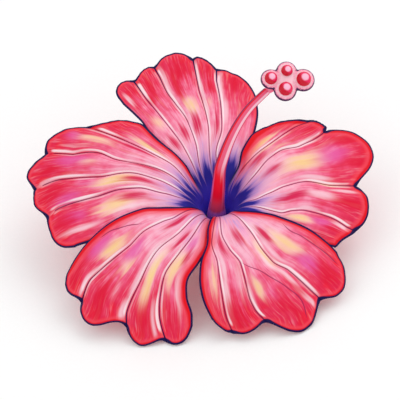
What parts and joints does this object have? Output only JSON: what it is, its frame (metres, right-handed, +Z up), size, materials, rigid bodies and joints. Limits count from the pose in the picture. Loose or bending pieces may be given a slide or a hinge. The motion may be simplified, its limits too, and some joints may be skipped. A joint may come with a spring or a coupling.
{
  "type": "hibiscus flower",
  "caption": "Open hibiscus blossom with frilled overlapping petals, a long curved column with a lobed head, a green calyx with bracts and a short cut stalk.",
  "frame": {"origin": "centre of the bounding box's base, on the surface that the flower lies on", "axes": "+Z up; +X along the widest spread of the petals; the flower faces up and leans towards -Y, resting on two petal tips and the cut stalk"},
  "size_m": [0.1341, 0.1131, 0.0754],
  "materials": {
    "petal": "satin plant tissue",
    "column": "smooth waxy plant tissue",
    "style": "smooth waxy plant tissue",
    "stigma": "glossy, moist",
    "ovary": "matt plant tissue",
    "calyx": "matt, ribbed",
    "bract": "matt",
    "stalk": "green, fibrous"
  },
  "bodies": {
    "root": {"petal_top": "petal", "petal_right": "petal", "petal_left": "petal", "petal_lower_left": "petal", "petal_lower_right": "petal", "staminal_column": "column", "style_head": "style", "stigma_left": "stigma", "stigma_top": "stigma", "stigma_right": "stigma", "stigma_bottom": "stigma", "ovary": "ovary", "calyx": "calyx", "epicalyx_bract_1": "bract", "epicalyx_bract_2": "bract", "epicalyx_bract_3": "bract", "epicalyx_bract_4": "bract", "epicalyx_bract_5": "bract", "epicalyx_bract_6": "bract", "epicalyx_bract_7": "bract", "pedicel": "stalk"}
  },
  "joints": []
}
